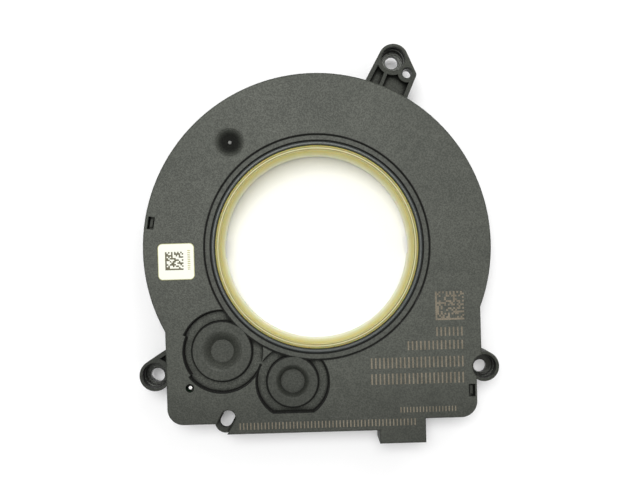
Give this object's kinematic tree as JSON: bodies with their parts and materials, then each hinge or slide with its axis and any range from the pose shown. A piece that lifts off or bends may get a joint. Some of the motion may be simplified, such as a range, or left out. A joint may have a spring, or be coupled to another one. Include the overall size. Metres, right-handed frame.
{
  "type": "steering angle sensor",
  "caption": "Flat black housing with a squared lower half, screw ears, a connector tongue and a free-turning cream ring round a wide through bore; sunk gear domes on the face.",
  "frame": {"origin": "on the bore axis, in the mounting plane under the three screw ears", "axes": "+Z out of the front face along the bore axis, +Y towards the upper ear, +X to the right seen from the front"},
  "size_m": [0.1012, 0.1121, 0.0163],
  "materials": {
    "cover": "fine moulded texture, glass-filled, black",
    "housing": "fine moulded texture, glass-filled, black",
    "hub": "natural cream, translucent, satin",
    "gears": "natural white, satin",
    "magnets": "sintered, dull",
    "board": "green solder mask",
    "contacts": "tin plated",
    "chips": "moulded, black",
    "ferrite": "sintered, dark grey",
    "crystal_can": "drawn can",
    "tantalum": "moulded, ochre",
    "ceramic": "fired, tan",
    "steel": "ground",
    "label": "printed film, white"
  },
  "bodies": {
    "housing": {"rear_housing": "housing", "front_cover": "cover", "circuit_board": "board", "contact_pins": "contacts", "large_gear_angle_chip": "chips", "small_gear_angle_chip": "chips", "microcontroller": "chips", "bus_transceiver": "chips", "voltage_regulator": "chips", "bus_choke": "ferrite", "crystal": "crystal_can", "protection_diode": "chips", "tantalum_capacitors": "tantalum", "ceramic_capacitors": "ceramic", "chip_resistors": "chips", "locating_dowel": "steel", "code_label": "label"},
    "hub": {"hub_gear": "hub"},
    "large_gear": {"large_measuring_gear": "gears", "large_gear_magnet": "magnets"},
    "small_gear": {"small_measuring_gear": "gears", "small_gear_magnet": "magnets"}
  },
  "joints": [
    {"name": "hub_spin", "type": "hinge", "parent": "housing", "child": "hub", "pos_m": [0, 0, 0], "axis": [0, 0, 1], "continuous": true},
    {"name": "large_gear_spin", "type": "hinge", "parent": "housing", "child": "large_gear", "pos_m": [-0.02746, -0.02853, 0.006], "axis": [0, 0, 1], "continuous": true},
    {"name": "small_gear_spin", "type": "hinge", "parent": "housing", "child": "small_gear", "pos_m": [-0.00785, -0.03759, 0.006], "axis": [0, 0, 1], "continuous": true}
  ],
  "couplings": [
    {"joint": "large_gear_spin", "follows": "hub_spin", "ratio": -3.3043},
    {"joint": "small_gear_spin", "follows": "hub_spin", "ratio": -3.8}
  ]
}
